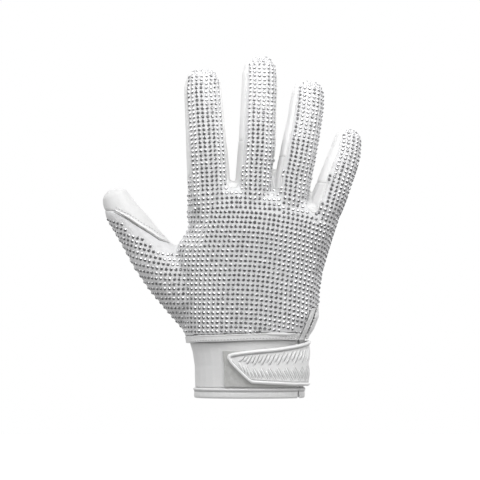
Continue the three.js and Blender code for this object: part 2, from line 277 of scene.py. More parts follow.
def buildWeaveGroup():
    # two crossing waves make the loops of a knit
    tree, given, result = newGroup("fineKnit", ["Thread Scale"], ["Thread Colour", "Gap Colour"])
    meet = tree.nodes.new("ShaderNodeMath")
    meet.operation = "MULTIPLY"
    for socket, direction in enumerate(("X", "Z")):
        wave = tree.nodes.new("ShaderNodeTexWave")
        wave.bands_direction = direction
        wave.inputs["Distortion"].default_value = 1.2
        wave.inputs["Detail"].default_value = 1
        wire(
            tree,
            (given.outputs["Vector"], wave.inputs["Vector"]),
            (given.outputs["Thread Scale"], wave.inputs["Scale"]),
            (wave.outputs["Fac"], meet.inputs[socket]),
        )
    tree.links.new(meet.outputs["Value"], result.inputs["Height"])
    blendColours(
        tree, meet.outputs["Value"], given.outputs["Gap Colour"], given.outputs["Thread Colour"], result
    )
    return tree


grainGroup = buildGrainGroup()
weaveGroup = buildWeaveGroup()


def groupMaterial(name, group, values, roughness, bump, coat=0.0, sheen=0.0):
    # a material whose colour and relief come from one of the two groups
    material, tree, shader = newMaterial(name)
    place = tree.nodes.new("ShaderNodeTexCoord")
    pattern = tree.nodes.new("ShaderNodeGroup")
    pattern.node_tree = group
    for socketName, value in values.items():
        pattern.inputs[socketName].default_value = value
    relief = tree.nodes.new("ShaderNodeBump")
    relief.inputs["Strength"].default_value = bump
    relief.inputs["Distance"].default_value = 0.3 * mm
    wire(
        tree,
        (place.outputs["Object"], pattern.inputs["Vector"]),
        (pattern.outputs["Color"], shader.inputs["Base Color"]),
        (pattern.outputs["Height"], relief.inputs["Height"]),
        (relief.outputs["Normal"], shader.inputs["Normal"]),
    )
    shader.inputs["Roughness"].default_value = roughness
    shader.inputs["Coat Weight"].default_value = coat
    shader.inputs["Sheen Weight"].default_value = sheen
    return material


def grainMaterial(name, light, dark, roughness, fineScale, slowScale, bump, coat=0.0, sheen=0.0):
    values = {"Light": light, "Dark": dark, "Fine Scale": fineScale, "Slow Scale": slowScale}
    return groupMaterial(name, grainGroup, values, roughness, bump, coat, sheen)


def knitMaterial(name, yarn, gap, roughness, scale, bump):
    values = {"Thread Colour": yarn, "Gap Colour": gap, "Thread Scale": scale}
    return groupMaterial(name, weaveGroup, values, roughness, bump, sheen=0.2)


leather = grainMaterial("softLeather", grey(0.9), grey(0.85), 0.5, 1500, 45, 0.25)
# the thumb's white leather made darker than the rest: painted shade
shadedThumbLeather = grainMaterial("shadedThumbLeather", grey(0.75), grey(0.7), 0.5, 1500, 45, 0.25)
cloth = knitMaterial("studdedCloth", grey(0.86), (0.7, 0.7, 0.71, 1), 0.6, 520, 0.35)
stretchMesh = knitMaterial("stretchMesh", grey(0.9), grey(0.74), 0.6, 430, 0.5)
binding = grainMaterial("bindingTape", grey(0.8), grey(0.72), 0.55, 1800, 60, 0.2)
elastic = knitMaterial("cuffElastic", grey(0.87), grey(0.74), 0.55, 420, 0.35)
# its greys are partly the loop pile's own darker tone, partly painted shade from the strap lying over it
loopPile = grainMaterial(
    "loopPile", (0.6, 0.6, 0.59, 1), (0.42, 0.42, 0.41, 1), 0.9, 900, 350, 0.9, sheen=0.2
)
moulded = grainMaterial("mouldedStrap", grey(0.88), grey(0.85), 0.38, 2400, 30, 0.08, coat=0.15)
thread = grainMaterial("sewingThread", grey(0.68), grey(0.5), 0.6, 3000, 900, 0.3)
# dark grey for cords laid along seams as painted shade in the seam's hollow
paintedSeamShade = grainMaterial("seamPaintedShade", grey(0.3), grey(0.2), 0.8, 2000, 400, 0.3)
# mid grey for thin cords that stand for painted shade beside ridges, ribs and edges
paintedShadeLine = grainMaterial("paintedShadeLine", grey(0.55), grey(0.42), 0.6, 2000, 400, 0.2)


skinLook = {
    "voxel": 0.84 * mm,
    "swell": 0.5 * mm,
    "takeIn": 0.4 * mm,
    "smoothRounds": 46,
    "seamRounds": 18,
    "wall": 1.3 * mm,
    "seamTuck": 0.35 * mm,
    "tuckReach": 1.6 * mm,
    "widenRounds": 2,
    "widenAbove": 140 * mm,
}
# CAD node, its new piece, material and slot
skinPanels = [
    ("back_panel", "backCloth", cloth, "studded_fabric"),
    ("palm_panel", "palmLeather", leather, "leather"),
    ("thumb_leather", "thumbLeather", shadedThumbLeather, "leather"),
    ("fourchette_index_middle", "indexStrip", stretchMesh, "mesh"),
    ("fourchette_middle_ring", "ringStrip", stretchMesh, "mesh"),
    ("fourchette_ring_little", "littleStrip", stretchMesh, "mesh"),
]
skinNodes = [panel[0] for panel in skinPanels]
onBack, onPalm, onThumb = 0, 1, 2   # places in the list above


def nodeTree(nodes):
    points, faces, owner = [], [], []
    for number, node in enumerate(nodes):
        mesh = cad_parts[node].data
        base = len(points)
        points += [vert.co.copy() for vert in mesh.vertices]
        faces += [[base + i for i in poly.vertices] for poly in mesh.polygons]
        owner += [number] * len(mesh.polygons)
    return BVHTree.FromPolygons(points, faces), owner


outerLook = {
    "lift": 0.9 * mm,
    "leans": ((0, 0, 0), (0, -1.3, 0), (0, 1.3, 0), (0, 0, 1.3)),
    "lowestLook": -0.55,
    "wristTop": 62 * mm,
    "wristLeft": -45 * mm,
    "wristHalves": (42, 26),
    "wristFacing": 0.4,
    "holeSides": 60,
}


def seesOut(tree, place, normal):
    # the lining sees only the other side of the hollow, the skin sees out one way or another
    start = place + normal * outerLook["lift"]
    for lean in outerLook["leans"]:
        way = (normal + Vector(lean)).normalized()
        if way.z > outerLook["lowestLook"] and tree.ray_cast(start, way)[0] is None:
            return True
    return False


def facesIn(vert):
    # low on the hand, the lining and the cut rim don't face out from the wrist's oval
    if vert.co.z >= outerLook["wristTop"] or vert.co.x <= outerLook["wristLeft"]:
        return False
    wide, deep = outerLook["wristHalves"]
    outward = Vector((vert.co.x / wide ** 2, vert.co.y / deep ** 2, 0)).normalized()
    return vert.normal.dot(outward) < outerLook["wristFacing"]


def keepOuterSkin(obj):
    wholeTree = nodeTree(list(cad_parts))[0]
    work = bmesh.new()
    work.from_mesh(obj.data)
    inside = [vert for vert in work.verts if facesIn(vert) or not seesOut(wholeTree, vert.co, vert.normal)]
    bmesh.ops.delete(work, geom=inside, context="VERTS")
    start = min(work.verts, key=lambda vert: vert.co.x)
    seen = {start}
    queue = [start]
    while queue:
        vert = queue.pop()
        for edge in vert.link_edges:
            other = edge.other_vert(vert)
            if other not in seen:
                seen.add(other)
                queue.append(other)
    rest = [vert for vert in work.verts if vert not in seen]
    bmesh.ops.delete(work, geom=rest, context="VERTS")
    rims = [edge for edge in work.edges if edge.is_boundary]
    bmesh.ops.holes_fill(work, edges=rims, sides=outerLook["holeSides"])
    bmesh.ops.triangulate(work, faces=[face for face in work.faces if len(face.verts) > 4])
    work.to_mesh(obj.data)
    work.free()
    obj.data.update()


def ramp(value, start, full):
    return np.clip((value - start) / (full - start), 0, 1)


# in millimetres: x of the middle of the gap at some heights, and the heights between which it is opened
gapLook = {
    "heights": (143, 146, 150, 158),
    "middles": (15.4, 16.0, 16.9, 18.4),
    "below": (141, 145),
    "above": (158, 148),
    "shift": 0.8,
    "reach": 2.5,
}


def openGap(mesh):
    # the middle and ring fingers stand a little further apart just above their web
    points = meshArrays(mesh)[0]
    x, y, z = points.T / mm
    away = x - np.interp(z, gapLook["heights"], gapLook["middles"])
    weight = ramp(z, *gapLook["below"]) * ramp(z, *gapLook["above"])
    weight = weight * np.exp(-(away / gapLook["reach"]) ** 2)
    points[:, 0] += gapLook["shift"] * mm * np.sign(away) * weight
    setPoints(mesh, points)


def meshNormals(mesh):
    normals = np.empty(len(mesh.vertices) * 3)
    mesh.vertices.foreach_get("normal", normals)
    return normals.reshape(-1, 3)


skin = remeshed(joinedCopy("skin", skinNodes, skinLook["swell"], openGap), skinLook["voxel"])
skinPoints, skinEdges = meshArrays(skin.data)
setPoints(skin.data, evenOut(skinPoints, skinEdges, skinLook["smoothRounds"]))
keepOuterSkin(skin)
skinPoints = meshArrays(skin.data)[0]
setPoints(skin.data, skinPoints - meshNormals(skin.data) * skinLook["takeIn"])
say("outer skin:", len(skin.data.polygons))

cadTree, cadOwner = nodeTree(skinNodes)
skinOwner = np.array([
    cadOwner[cadTree.find_nearest(poly.center)[2]] for poly in skin.data.polygons
])


def widenCloth(mesh, owner):
    # on the fingers the studded cloth reaches a little further round than its block
    heights = np.array([poly.center.z for poly in mesh.polygons])
    corners = [list(poly.vertices) for poly in mesh.polygons]
    free = (owner != onThumb) & (heights > skinLook["widenAbove"])
    for turn in range(skinLook["widenRounds"]):
        touched = {v for i in np.nonzero(owner == onBack)[0] for v in corners[i]}
        for i in np.nonzero((owner != onBack) & free)[0]:
            if any(v in touched for v in corners[i]):
                owner[i] = onBack


crotchLook = {"x": -44 * mm, "z": 108 * mm, "reach": 9.5 * mm, "fill": 3.2 * mm}


def fillCrotch(mesh):
    # the edge between the thumb and the first finger is a round hollow, not a sharp one
    points = meshArrays(mesh)[0]
    apart = np.hypot(points[:, 0] - crotchLook["x"], points[:, 2] - crotchLook["z"]) / crotchLook["reach"]
    points[:, 0] += crotchLook["fill"] * np.exp(-apart ** 2)
    setPoints(mesh, points)


palmLook = {
    "rounds": 130,
    "pull": 0.5,
    # axis, where the easing starts and where it is full, in millimetres
    "limits": [(1, -1, 6), (2, 40, 52), (2, 128, 114), (0, 4, -8), (0, -76, -62)],
}


def easePalm(mesh):
    # the ball of the thumb runs softly into the palm
    points, edges = meshArrays(mesh)
    weight = np.full((len(points), 1), palmLook["pull"])
    for axis, start, full in palmLook["limits"]:
        weight *= ramp(points[:, [axis]] / mm, start, full)
    for turn in range(palmLook["rounds"]):
        points = points + weight * towardNeighbours(points, edges)
    setPoints(mesh, points)


widenCloth(skin.data, skinOwner)
fillCrotch(skin.data)
easePalm(skin.data)
say("skin divided:", np.bincount(skinOwner))


def neighbours(keys):
    linked = {}
    for a, b in keys:
        linked.setdefault(a, []).append(b)
        linked.setdefault(b, []).append(a)
    return linked


def straightenSeams(mesh, owner):
    # the points between two panels are drawn into even lines, and their neighbours follow
    points, edges = meshArrays(mesh)
    edgeOwners = {}
    for poly in mesh.polygons:
        for key in poly.edge_keys:
            edgeOwners.setdefault(key, set()).add(int(owner[poly.index]))
    seamKeys = [key for key, who in edgeOwners.items() if len(who) > 1]
    linked = neighbours(seamKeys)
    movable = [v for v, near in linked.items() if len(near) == 2]
    before = np.array([linked[v][0] for v in movable])
    after = np.array([linked[v][1] for v in movable])
    for turn in range(skinLook["seamRounds"]):
        points[movable] += 0.5 * ((points[before] + points[after]) / 2 - points[movable])
    pinned = np.zeros(len(points), bool)
    pinned[list(linked)] = True
    zone = pinned.copy()
    for ring in range(3):
        touched = zone[edges[:, 0]] | zone[edges[:, 1]]
        zone[edges[touched].ravel()] = True
    moved = zone & ~pinned
    points[moved] = evenOut(points, edges, 3)[moved]
    setPoints(mesh, points)
    pairs = {}
    for key in seamKeys:
        pairs.setdefault(tuple(sorted(edgeOwners[key])), []).append(key)
    return sorted(linked), pairs


seamVertices, seamPairs = straightenSeams(skin.data, skinOwner)
skinPoints = meshArrays(skin.data)[0]
skinFaces = [tuple(poly.vertices) for poly in skin.data.polygons]
skinTree = BVHTree.FromPolygons([Vector(p) for p in skinPoints], skinFaces)
seamTree = KDTree(len(seamVertices))
for number, vertex in enumerate(seamVertices):
    seamTree.insert(Vector(skinPoints[vertex]), number)
seamTree.balance()
say("seam points:", len(seamVertices))


def tuckSeams(points, normals):
    # every panel turns in a little where it is sewn to the next
    for vertex in range(len(points)):
        away = seamTree.find(Vector(points[vertex]))[2]
        if away < skinLook["tuckReach"]:
            fall = 1 - away / skinLook["tuckReach"]
            points[vertex] -= normals[vertex] * skinLook["seamTuck"] * fall * fall
    return points


def cutPanel(number):
    node, name, material, slotName = skinPanels[number]
    faces = [skinFaces[i] for i in np.nonzero(skinOwner == number)[0]]
    used = sorted({v for face in faces for v in face})
    renumber = {v: i for i, v in enumerate(used)}
    faces = [[renumber[v] for v in face] for face in faces]
    panel = newMeshObject(name, [tuple(tuckedPoints[v]) for v in used], faces)
    wall = panel.modifiers.new("wall", "SOLIDIFY")
    wall.thickness = skinLook["wall"]
    wall.offset = -1
    applyModifiers(panel)
    smoothShade(panel)
    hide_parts(node)
    return dress(panel, material)


tuckedPoints = tuckSeams(skinPoints.copy(), meshNormals(skin.data))
panels = [cutPanel(number) for number in range(len(skinPanels))]
bpy.data.objects.remove(skin)
say("panels cut, faces:", [len(panel.data.polygons) for panel in panels])


def onSkin(point, reach=6 * mm):
    return skinTree.find_nearest(Vector(point), reach)[:3]


def fromFront(tree, x, z):
    # place and normal of what is met first from in front
    return tree.ray_cast(Vector((x, -120 * mm, z)), Vector((0, 1, 0)))[:2]


stoneLook = {
    "columnPitch": 3.12,
    "rowPitch": [(42, 2.93), (60, 3.09), (133, 3.09), (138, 2.74)],   # z, pitch
    "fingerPitch": (3.09, 2.76),   # under and over the next height
    "fingerPitchTurn": 133,
    "firstRow": 43.2,
    "lastHandRow": 121.0,
    "handColumns": (-46, 24),
    "thumbFrom": 94.5,   # over this height the thumb's rows are its own
    "handLeft": -47,
    "thumbRight": -48,
    "thumbColumns": (-14, 15),
    "thumbPitch": 2.95,
    "thumbColumn": -66,
    "thumbTop": 117,
    "thumbLean": 0.27,
    "steepest": 0.6,
    "radius": 1.14 * mm,
    "tableRadius": 0.57 * mm,
    "girdle": 0.28 * mm,
    "height": 0.78 * mm,
    "sink": 0.05 * mm,
    "clearOfSeam": 1.0 * mm,
    "clearOfNext": 2.0 * mm,
    "clearOnThumb": 2.2 * mm,
    "lip": (8, 30, 43.3),   # x from, x to, and the z under which the smooth lip has no stones
    "crotch": (-44, 101),   # x and z past which stones stand up to the crotch
    "seed": 7,
}
middleColumn = [(41, -2.5), (75, -0.7), (110, 3.0), (135, 7.0)]   # z, x of the middle finger's column
# x, drop to the right
handSlopes = [(-12, 0.0), (0, 0.05), (15, 0.16), (27, 0.2), (38, 0.27), (48, 0.35), (60, 0.38)]
# x, z of the upper edge of the stones on the thumb
studEdge = [
    (-97, 117.0), (-90.4, 116.0), (-80.8, 112.5), (-79, 108.5), (-70.5, 105.5), (-68.5, 102.8),
    (-63.7, 100.4), (-60.0, 96.2), (-57.2, 94.4), (-48.8, 94.8), (-45.5, 97.2), (-41.5, 101.5), (-38, 112),
]
# index, middle, ring and little finger. axis: points up it; roll: how far its strip of stones is turned
# to the right, in degrees; drop: how much lower than the middle finger's its rows begin
fingerLanes = [
    {"centre": -10.5, "columns": (-17, -5), "drop": 0, "roll": 3, "slope": -0.05,
     "axis": [(-25.7, -10.5, 114), (-25.8, -12.8, 131), (-26.3, -14, 145), (-27.3, -15.2, 160.7),
              (-28.3, -14.7, 175.7), (-29.4, -13, 190.7), (-30, -11.2, 200.2), (-29.8, -10, 205.2)]},
    {"centre": 0, "columns": (-4, 4), "drop": 0, "roll": 17, "slope": 0.06,
     "axis": [(1.7, -11, 114), (2.6, -13.2, 130.5), (3.6, -15.2, 146.5), (5.1, -16.4, 163.5),
              (5.6, -15.7, 176.5), (6.1, -13.7, 189.5), (6.8, -10.6, 202.5), (6.8, -8.5, 210)]},
    {"centre": 9, "columns": (5, 13), "drop": 4.4, "roll": 25, "slope": 0.2,
     "axis": [(22.7, -10.5, 111), (26, -12.7, 128), (28.3, -14.3, 143), (31.4, -14.8, 156.2),
              (33.5, -14.2, 167.7), (35.8, -11.8, 179.2), (37.2, -9.1, 189.5), (38, -7, 197)]},
    {"centre": 17.5, "columns": (14, 24), "drop": 12, "roll": 38, "slope": 0.34,
     "axis": [(42.7, -8.2, 108.2), (49.3, -11, 124.1), (53, -11.5, 133.8), (56.4, -11.7, 143),
              (59.6, -10.5, 151.7), (62.1, -8.5, 159), (63.6, -6.7, 165.7)]},
]


def smoothStep(value, start, full):
    t = max(0.0, min(1.0, (value - start) / (full - start)))
    return t * t * (3 - 2 * t)


def tableAt(table, value, column=1):
    return float(np.interp(value, [row[0] for row in table], [row[column] for row in table]))


def handSlope(place):
    x, z = place.x / mm, place.z / mm
    towardThumb = smoothStep(x, -44, -62) * smoothStep(z, 66, 98)
    return tableAt(handSlopes, x) + stoneLook["thumbLean"] * towardThumb


def rowStart(z):
    # where the column that runs up the middle finger crosses this height
    return fromFront(skinTree, tableAt(middleColumn, z) * mm, z * mm)[0]


def walkRow(start, side, slopeAt, length=130 * mm, step=0.6 * mm):
    # a level walk over the skin, dropping to the right by the slope, until it leaves the cloth
    place, normal, face = onSkin(start)
    travelled = [0.0]
    places = [place.copy()]
    for count in range(int(length / step)):
        right = Vector((0, 0, 1)).cross(normal)
        if right.length < 0.2:
            break
        right.normalize()
        up = normal.cross(right)
        lean = max(-stoneLook["steepest"], min(stoneLook["steepest"], slopeAt(place)))
        ahead = side * (right - up * lean).normalized()
        found = onSkin(place + ahead * step)
        if found[0] is None or skinOwner[found[2]] != onBack:
            break
        moved = (found[0] - place).length
        if moved < 0.3 * step:
            break
        travelled.append(travelled[-1] + moved)
        place, normal, face = found
        places.append(place.copy())
    return np.array(travelled), np.array(places)


def pointAlong(travelled, places, distance):
    if distance > travelled[-1] or distance < 0:
        return None
    return np.array([np.interp(distance, travelled, places[:, axis]) for axis in range(3)])


def stripCentre(lane, z):
    # the skin at a height, straight out from the finger's axis through the middle of its stones
    heights = [(p[2], p[0], p[1]) for p in lane["axis"]]
    inside = Vector((tableAt(heights, z, 1) * mm, tableAt(heights, z, 2) * mm, z * mm))
    roll = math.radians(lane["roll"])
    return skinTree.ray_cast(inside, Vector((math.sin(roll), -math.cos(roll), 0)))[0]


climbLook = {"step": 0.5 * mm, "longest": 120 * mm, "lookAhead": 2.0, "tipZone": 4, "levelTop": 0.93}


def climbFinger(lane, startHeight):
    # up the middle of the strip of stones and over the fingertip
    last, top = lane["axis"][-2:]
    place = stripCentre(lane, startHeight)
    travelled, places = [0.0], [place.copy()]
    while travelled[-1] < climbLook["longest"]:
        height = place.z / mm
        if height < top[2] - climbLook["tipZone"]:
            ahead = stripCentre(lane, height + climbLook["lookAhead"]) - place
        else:
            normal = onSkin(place)[1]
            ahead = Vector(top) - Vector(last)
            ahead = ahead - normal * ahead.dot(normal)
        place, normal, face = onSkin(place + ahead.normalized() * climbLook["step"])
        if skinOwner[face] != onBack or normal.z > climbLook["levelTop"]:
            break
        travelled.append(travelled[-1] + climbLook["step"])
        places.append(place.copy())
    return np.array(travelled), np.array(places)


stonePlaces = []
stoneGrid = {}


def bareThere(place):
    # the lip over the hem and the smooth side of the thumb have no stones
    x, z = place.x / mm, place.z / mm
    left, right, top = stoneLook["lip"]
    if left < x < right and z < top:
        return True
    crotchX, crotchZ = stoneLook["crotch"]
    return x < crotchX + 2 and z > tableAt(studEdge, x) and not (x > crotchX and z > crotchZ)


def addStone(point, clear):
    # keeps a stone clear of the seams and of the stones set before it
    place, normal, face = onSkin(point)
    if place is None or skinOwner[face] != onBack or bareThere(place):
        return
    if seamTree.find(place)[2] < stoneLook["clearOfSeam"]:
        return
    cell = tuple(int(math.floor(c / (3 * mm))) for c in place)
    for shift in product((-1, 0, 1), repeat=3):
        for other in stoneGrid.get(tuple(a + b for a, b in zip(cell, shift)), ()):
            if (other - place).length < clear:
                return
    stoneGrid.setdefault(cell, []).append(place.copy())
    stonePlaces.append((place.copy(), normal.copy()))


def layRow(start, slopeAt, columnToWay, columns, between=(-200, 200), clear=stoneLook["clearOfNext"]):
    for side in (-1, 1):
        travelled, places = walkRow(start, side, slopeAt)
        for column in range(*columns):
            way = columnToWay(column) * mm
            if way * side > 0 or (way == 0 and side == 1):
                point = pointAlong(travelled, places, abs(way))
                if point is not None and between[0] * mm < point[0] < between[1] * mm:
                    addStone(point, clear)


def columnWay(column, centres, ways):
    # from the middle column to this one: past the outer fingers the columns keep their pitch
    nearest = min(max(column, centres[0]), centres[-1])
    return float(np.interp(nearest, centres, ways)) + (column - nearest) * stoneLook["columnPitch"]


def knuckleWays(level):
    # how far along the last row of the hand each finger's strip of stones has its middle
    ways = {0: 0.0}
    for side in (-1, 1):
        travelled, places = walkRow(rowStart(level), side, handSlope)
        for lane in fingerLanes:
            if lane["centre"] * side > 0:
                centre = np.array(stripCentre(lane, level - lane["drop"]))
                nearest = int(np.linalg.norm(places - centre, axis=1).argmin())
                ways[lane["centre"]] = side * travelled[nearest] / mm
    say("finger lanes at the knuckles:", {k: round(v, 1) for k, v in ways.items()})
    return ways


def layHand():
    rows = [stoneLook["firstRow"]]
    while rows[-1] + tableAt(stoneLook["rowPitch"], rows[-1]) < stoneLook["lastHandRow"]:
        rows.append(rows[-1] + tableAt(stoneLook["rowPitch"], rows[-1]))
    ways = knuckleWays(rows[-1])
    centres = sorted(ways)
    for z in rows:
        part = smoothStep(z, 88, rows[-1])
        known = [part * ways[c] + (1 - part) * c * stoneLook["columnPitch"] for c in centres]
        leftmost = stoneLook["handLeft"] if z > stoneLook["thumbFrom"] else -200
        layRow(
            rowStart(z), handSlope, lambda column: columnWay(column, centres, known),
            stoneLook["handColumns"], (leftmost, 200),
        )
    return rows


def layFingers(level):
    wide, close = stoneLook["fingerPitch"]
    for lane in fingerLanes:
        travelled, places = climbFinger(lane, level - lane["drop"])
        first, last = lane["columns"]
        way = 0.0
        while True:
            height = np.interp(way * mm, travelled, places[:, 2]) / mm
            way += wide if height < stoneLook["fingerPitchTurn"] - lane["drop"] else close
            centre = pointAlong(travelled, places, way * mm)
            if centre is None:
                break
            layRow(
                Vector(centre), lambda place: lane["slope"],
                lambda column: (column - lane["centre"]) * stoneLook["columnPitch"], (first, last + 1),
            )


def nextRow(place, slopeAt, distance, step=0.5 * mm):
    # a walk over the cloth square to the rows, to the row above
    travelled = 0.0
    place, normal, face = onSkin(place)
    while travelled < distance:
        right = Vector((0, 0, 1)).cross(normal).normalized()
        ahead = (normal.cross(right) + right * slopeAt(place)).normalized()
        before = place
        place, normal, face = onSkin(place + ahead * min(step, distance - travelled + 0.01 * mm))
        if skinOwner[face] != onBack:
            return None
        travelled += (place - before).length
    return place


def layThumb(lastRow):
    # above the last row that crosses the whole hand, rows carry on up the thumb in line with its columns
    pitch = stoneLook["columnPitch"]
    across = walkRow(rowStart(lastRow), -1, handSlope)[1]
    first = Vector(across[np.abs(across[:, 0] - stoneLook["thumbColumn"] * mm).argmin()])
    place = min((stone for stone, normal in stonePlaces), key=lambda stone: (stone - first).length)
    while place is not None and place.z < stoneLook["thumbTop"] * mm:
        start = nextRow(place, handSlope, stoneLook["thumbPitch"] * mm)
        if start is None:
            break
        layRow(
            start, handSlope, lambda column: column * pitch, stoneLook["thumbColumns"],
            (-200, stoneLook["thumbRight"]), stoneLook["clearOnThumb"],
        )
        left = pointAlong(*walkRow(start, -1, handSlope, 20 * mm), pitch * mm)
        place = None if left is None else Vector(left)


handRows = layHand()
say("stones on the hand:", len(stonePlaces))
layFingers(handRows[-1])
layThumb(max(z for z in handRows if z <= stoneLook["thumbFrom"]))
say("with the thumb:", len(stonePlaces))


def selectFacing(obj, way):
    # the faces that look up for 1, or down for -1
    work = bmesh.from_edit_mesh(obj.data)
    for face in work.faces:
        face.select = face.normal.z * way > 0.9
    bmesh.update_edit_mesh(obj.data)


def stoneShape():
    # one faceted stone: a nine-sided drum, its top drawn in to a flat table
    look = stoneLook
    deselectAll()
    bpy.ops.mesh.primitive_cylinder_add(
        vertices=9, radius=look["radius"], depth=look["girdle"], location=(0, 0, look["girdle"] / 2)
    )
    stone = bpy.context.object
    bpy.ops.object.transform_apply(location=True, rotation=True, scale=True)
    bpy.ops.object.mode_set(mode="EDIT")
    selectFacing(stone, 1)
    bpy.ops.mesh.extrude_region_move(
        TRANSFORM_OT_translate={"value": (0, 0, look["height"] - look["girdle"])}
    )
    shrink = look["tableRadius"] / look["radius"]
    bpy.ops.transform.resize(value=(shrink, shrink, 1))
    selectFacing(stone, -1)
    bpy.ops.mesh.delete(type="FACE")
    bpy.ops.object.mode_set(mode="OBJECT")
    return stone


def scatter(name, shape, places, seed=0, sink=0.0):
    # one joined mesh with a copy of the shape standing on each place
    mesh = shape.data
    base = np.array([tuple(vert.co) for vert in mesh.vertices])
    faces = [tuple(poly.vertices) for poly in mesh.polygons]
    chance = np.random.default_rng(seed)
    points, polygons = [], []
    for number, (place, normal, *along) in enumerate(places):
        if along:
            ahead = (along[0] - normal * along[0].dot(normal)).normalized()
            facing = Matrix((ahead, normal.cross(ahead), normal)).transposed()
        else:
            turn = chance.uniform(0, 2 * math.pi)
            facing = Vector(normal).to_track_quat("Z", "Y").to_matrix() @ Matrix.Rotation(turn, 3, "Z")
        points.append(base @ np.array(facing).T + np.array(place) - np.array(normal) * sink)
        offset = number * len(base)
        polygons += [[offset + i for i in face] for face in faces]
    bpy.data.objects.remove(shape)
    return newMeshObject(name, np.concatenate(points).tolist(), polygons)


def stoneMaterial():
    material, tree, shader = newMaterial("clearStone")
    flecks = patchy(tree, 900, [(0.35, (0.45, 0.45, 0.46, 1)), (0.65, (0.92, 0.92, 0.93, 1))])
    tree.links.new(flecks, shader.inputs["Base Color"])
    shader.inputs["Metallic"].default_value = 1.0
    shader.inputs["Roughness"].default_value = 0.16
    return material


stones = scatter("backStones", stoneShape(), stonePlaces, stoneLook["seed"], stoneLook["sink"])
dress(stones, stoneMaterial())
say("stones set:", len(stonePlaces), "faces:", len(stones.data.polygons))


hem = softNode("hemBinding", "back_hem_binding", 0.42 * mm, 16, binding)
vent = softNode("ventBinding", "vent_binding", 0.35 * mm, 10, binding)
cuff = softNode("cuffBand", "cuff_band", 0.55 * mm, 24, elastic)
cuffEnd = softNode("cuffEndHem", "cuff_hem", 0.5 * mm, 20, elastic)
softNode("loopPatch", "loop_patch", 0.4 * mm, 20, loopPile)
strap = softNode("closureStrap", "closure_strap", 0.4 * mm, 16, moulded)
say("bindings and strap made")


def treeOf(obj):
    corners = [tuple(poly.vertices) for poly in obj.data.polygons]
    return BVHTree.FromPolygons([vert.co for vert in obj.data.vertices], corners)


hemTree, ventTree, cuffTree, cuffEndTree = (treeOf(obj) for obj in (hem, vent, cuff, cuffEnd))


def gapsOf(line):
    return np.linalg.norm(np.diff(line, axis=0), axis=1)


def waysOf(line):
    # how far along the line each point is
    return np.concatenate([[0.0], np.cumsum(gapsOf(line))])


def evenLine(points, step=1.0 * mm, rounds=0):
    # the same line with points a step apart, after its kinks are eased
    points = np.array(points, float)
    for turn in range(rounds):
        points[1:-1] += 0.5 * ((points[:-2] + points[2:]) / 2 - points[1:-1])
    ways = waysOf(points)
    wanted = np.linspace(0, ways[-1], max(3, int(ways[-1] / step) + 1))
    return np.stack([np.interp(wanted, ways, points[:, axis]) for axis in range(points.shape[1])], axis=1)


def tubes(name, lines, radius, material, taper=None):
    # one mesh of round cords along the lines; taper gives the thickness from end to end
    curve = bpy.data.curves.new(name, "CURVE")
    curve.dimensions = "3D"
    curve.bevel_depth = radius
    curve.bevel_resolution = 2
    curve.use_fill_caps = True
    for line in lines:
        spline = curve.splines.new("POLY")
        spline.points.add(len(line) - 1)
        spline.points.foreach_set("co", np.c_[line, np.ones(len(line))].ravel())
        if taper:
            spread = np.linspace(0, 1, len(taper))
            spline.points.foreach_set("radius", np.interp(np.linspace(0, 1, len(line)), spread, taper))
    makeActive(newObject(name, curve))
    bpy.ops.object.convert(target="MESH")
    smoothShade(bpy.context.object)
    return dress(bpy.context.object, material)


def frontLine(tree, flat, by=(0, 0), lift=0.0):
    # a line given as x, z in millimetres, moved by some and laid on the front of a piece
    line, normals = [], []
    for x, z in evenLine((np.array(flat, float) + by) * mm):
        place, normal = fromFront(tree, x, z)
        if place is not None:
            line.append(tuple(place + normal * lift))
            normals.append(normal)
    return np.array(line), normals


def frontCord(name, tree, flat, cord, material):
    # one cord for each way in "by" that it is moved from the given line
    lines = [frontLine(tree, flat, by, cord["lift"])[0] for by in cord["by"]]
    tubes(name, lines, cord["radius"], material, cord["taper"])


cuffAxis = 0.25 * mm   # x of the middle of the cuff


def bandLine(tree, turns, lift=0.0):
    # a line on the outside of a band, given as angles round the cuff and heights
    line = []
    for angle, height in turns:
        way = Vector((math.cos(math.radians(angle)), math.sin(math.radians(angle)), 0))
        place, normal = tree.ray_cast(Vector((cuffAxis, 0, height)) + way * 0.09, -way)[:2]
        if place is not None:
            line.append(tuple(place + normal * lift))
    return np.array(line)


def seamLines(keys, shortest=5 * mm):
    # joins the edges of one seam into lines that end where seams meet
    linked = neighbours(keys)
    degree = {v: len(near) for v, near in linked.items()}
    lines = []
    for start in [v for v in linked if degree[v] != 2] + list(linked):
        while linked[start]:
            line = [start]
            while linked[line[-1]]:
                here = line[-1]
                ahead = linked[here].pop()
                linked[ahead].remove(here)
                line.append(ahead)
                if degree[ahead] != 2:
                    break
            points = tuckedPoints[line]
            if gapsOf(points).sum() > shortest:
                lines.append(evenLine(points, 1.2 * mm, 12))
    return lines


seamLook = {
    "foldRadius": 0.5 * mm,
    # x, z of the seam between the cloth and the thumb's leather, and what is laid along it
    "thumbFront": [
        (-87.1, 121.2), (-77.4, 116), (-70.9, 111.5), (-64.4, 107.6), (-57.9, 103), (-51.4, 101.1),
    ],
    "roll": {"by": [(0.35, 0.65)], "lift": -0.1 * mm, "radius": 0.85 * mm, "taper": (0.4, 1, 1, 1, 0.4)},
    # a dark cord below the thumb's seam roll: painted shade
    "paintedSeamShade": {"by": [(-0.3, -0.55)], "lift": 0.1 * mm, "radius": 0.4 * mm, "taper": (0.3, 1, 1, 1, 0.4)},
    "stitchBy": (1.3, 2.3),
    "stitchPitch": 2.1 * mm,
    "stitchSize": (0.78 * mm, 0.34 * mm, 0.3 * mm),
    "stitchLift": 0.05 * mm,
    "palmStitchAway": 2.4 * mm,
}


